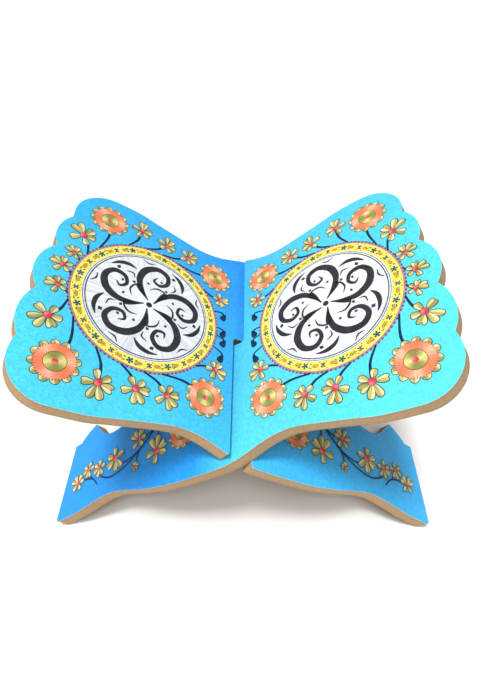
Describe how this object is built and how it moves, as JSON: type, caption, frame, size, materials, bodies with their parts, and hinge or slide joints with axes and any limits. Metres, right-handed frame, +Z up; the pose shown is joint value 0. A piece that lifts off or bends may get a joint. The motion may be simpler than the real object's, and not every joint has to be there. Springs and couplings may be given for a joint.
{
  "type": "folding book stand",
  "caption": "Folding X-shaped lectern of slotted boards with scalloped reading panels, arched legs and printed floral faces, for holding an open book.",
  "frame": {"origin": "on the floor, centred below the crossing of the two boards", "axes": "+X from the left reading panel to the right one, along the longest side; +Y from the reader's side to the back; +Z up, the shortest side"},
  "size_m": [0.2728, 0.197, 0.1716],
  "materials": {
    "mdf_core": "raw sawn MDF edge and underside, matt",
    "printed_face": "satin printed sheet, turquoise blue with floral ornament"
  },
  "bodies": {
    "right_panel_body": {"right_board": "mdf_core", "right_face_print": "printed_face"},
    "left_panel_body": {"left_board": "mdf_core", "left_face_print": "printed_face"}
  },
  "joints": [
    {"name": "fold", "type": "hinge", "parent": "right_panel_body", "child": "left_panel_body", "pos_m": [0, 0, 0.09079], "axis": [0, 1, 0], "range_deg": [0, 45]}
  ]
}
